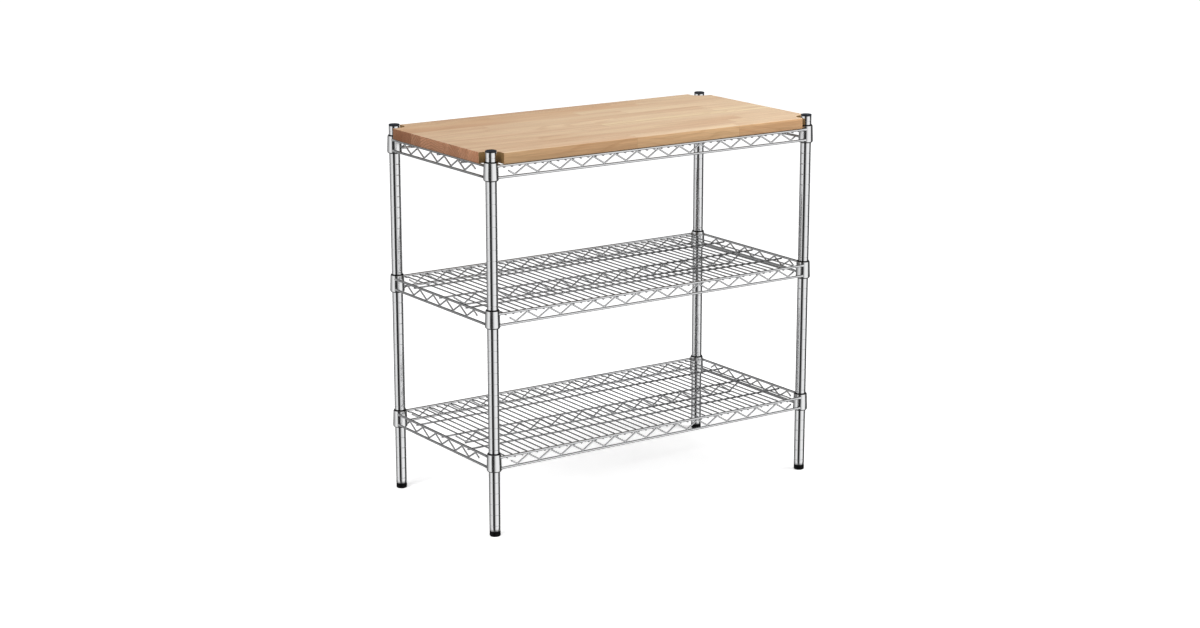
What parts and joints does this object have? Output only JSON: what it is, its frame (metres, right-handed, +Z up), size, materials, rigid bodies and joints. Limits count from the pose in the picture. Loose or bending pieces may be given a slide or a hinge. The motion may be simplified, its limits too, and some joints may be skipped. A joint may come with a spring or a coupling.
{
  "type": "kitchen island with wire shelves",
  "caption": "Kitchen island with a solid wood worktop on a chrome wire shelving frame, with grooved round posts, tapered collars and screw feet.",
  "frame": {"origin": "on the floor, under the middle of the island", "axes": "+X along the long side, +Y from front to back, +Z up; the front faces -Y"},
  "size_m": [0.913, 0.459, 0.88],
  "materials": {
    "chrome": "bright polished chrome plate on steel tube and wire",
    "zinc_steel": "satin zinc plated screw thread",
    "black_plastic": "moulded black plastic with a fine grain",
    "maple": "butcher block of pale staves with a clear satin finish"
  },
  "bodies": {
    "posts": {"post_front_left": "chrome", "post_front_right": "chrome", "post_back_left": "chrome", "post_back_right": "chrome", "post_cap_front_left": "black_plastic", "post_cap_front_right": "black_plastic", "post_cap_back_left": "black_plastic", "post_cap_back_right": "black_plastic", "post_insert_front_left": "black_plastic", "post_insert_front_right": "black_plastic", "post_insert_back_left": "black_plastic", "post_insert_back_right": "black_plastic", "lower_sleeve_front_left_left_half": "black_plastic", "lower_sleeve_front_left_right_half": "black_plastic", "lower_sleeve_front_right_left_half": "black_plastic", "lower_sleeve_front_right_right_half": "black_plastic", "lower_sleeve_back_left_left_half": "black_plastic", "lower_sleeve_back_left_right_half": "black_plastic", "lower_sleeve_back_right_left_half": "black_plastic", "lower_sleeve_back_right_right_half": "black_plastic", "middle_sleeve_front_left_left_half": "black_plastic", "middle_sleeve_front_left_right_half": "black_plastic", "middle_sleeve_front_right_left_half": "black_plastic", "middle_sleeve_front_right_right_half": "black_plastic", "middle_sleeve_back_left_left_half": "black_plastic", "middle_sleeve_back_left_right_half": "black_plastic", "middle_sleeve_back_right_left_half": "black_plastic", "middle_sleeve_back_right_right_half": "black_plastic", "upper_sleeve_front_left_left_half": "black_plastic", "upper_sleeve_front_left_right_half": "black_plastic", "upper_sleeve_front_right_left_half": "black_plastic", "upper_sleeve_front_right_right_half": "black_plastic", "upper_sleeve_back_left_left_half": "black_plastic", "upper_sleeve_back_left_right_half": "black_plastic", "upper_sleeve_back_right_left_half": "black_plastic", "upper_sleeve_back_right_right_half": "black_plastic"},
    "lower_shelf": {"lower_shelf_left_end_frame": "chrome", "lower_shelf_right_end_frame": "chrome", "lower_shelf_front_truss": "chrome", "lower_shelf_back_truss": "chrome", "lower_shelf_wire_mat": "chrome"},
    "middle_shelf": {"middle_shelf_left_end_frame": "chrome", "middle_shelf_right_end_frame": "chrome", "middle_shelf_front_truss": "chrome", "middle_shelf_back_truss": "chrome", "middle_shelf_wire_mat": "chrome"},
    "upper_shelf": {"upper_shelf_left_end_frame": "chrome", "upper_shelf_right_end_frame": "chrome", "upper_shelf_front_truss": "chrome", "upper_shelf_back_truss": "chrome", "upper_shelf_wire_mat": "chrome"},
    "top_board": {"wood_top": "maple"},
    "stud_front_left": {"foot_stud_front_left": "zinc_steel"},
    "pad_front_left": {"foot_pad_front_left": "black_plastic"},
    "stud_front_right": {"foot_stud_front_right": "zinc_steel"},
    "pad_front_right": {"foot_pad_front_right": "black_plastic"},
    "stud_back_left": {"foot_stud_back_left": "zinc_steel"},
    "pad_back_left": {"foot_pad_back_left": "black_plastic"},
    "stud_back_right": {"foot_stud_back_right": "zinc_steel"},
    "pad_back_right": {"foot_pad_back_right": "black_plastic"}
  },
  "joints": [
    {"name": "lower_shelf_lift", "type": "slide", "parent": "posts", "child": "lower_shelf", "axis": [0, 0, 1], "range_m": [0, 0.28]},
    {"name": "middle_shelf_lift", "type": "slide", "parent": "posts", "child": "middle_shelf", "axis": [0, 0, 1], "range_m": [0, 0.28]},
    {"name": "upper_shelf_lift", "type": "slide", "parent": "posts", "child": "upper_shelf", "axis": [0, 0, 1], "range_m": [0, 0.12]},
    {"name": "top_board_lift", "type": "slide", "parent": "upper_shelf", "child": "top_board", "axis": [0, 0, 1], "range_m": [0, 0.06]},
    {"name": "foot_extend_front_left", "type": "slide", "parent": "posts", "child": "stud_front_left", "axis": [0, 0, -1], "range_m": [0, 0.01905]},
    {"name": "foot_turn_front_left", "type": "hinge", "parent": "stud_front_left", "child": "pad_front_left", "pos_m": [-0.439, -0.212, 0], "axis": [0, 0, -1], "range_deg": [0, 4325]},
    {"name": "foot_extend_front_right", "type": "slide", "parent": "posts", "child": "stud_front_right", "axis": [0, 0, -1], "range_m": [0, 0.01905]},
    {"name": "foot_turn_front_right", "type": "hinge", "parent": "stud_front_right", "child": "pad_front_right", "pos_m": [0.439, -0.212, 0], "axis": [0, 0, -1], "range_deg": [0, 4325]},
    {"name": "foot_extend_back_left", "type": "slide", "parent": "posts", "child": "stud_back_left", "axis": [0, 0, -1], "range_m": [0, 0.01905]},
    {"name": "foot_turn_back_left", "type": "hinge", "parent": "stud_back_left", "child": "pad_back_left", "pos_m": [-0.439, 0.212, 0], "axis": [0, 0, -1], "range_deg": [0, 4325]},
    {"name": "foot_extend_back_right", "type": "slide", "parent": "posts", "child": "stud_back_right", "axis": [0, 0, -1], "range_m": [0, 0.01905]},
    {"name": "foot_turn_back_right", "type": "hinge", "parent": "stud_back_right", "child": "pad_back_right", "pos_m": [0.439, 0.212, 0], "axis": [0, 0, -1], "range_deg": [0, 4325]}
  ],
  "couplings": [
    {"joint": "foot_turn_front_left", "follows": "foot_extend_front_left", "rad_per_m": 3957.9},
    {"joint": "foot_turn_front_right", "follows": "foot_extend_front_right", "rad_per_m": 3957.9},
    {"joint": "foot_turn_back_left", "follows": "foot_extend_back_left", "rad_per_m": 3957.9},
    {"joint": "foot_turn_back_right", "follows": "foot_extend_back_right", "rad_per_m": 3957.9}
  ]
}
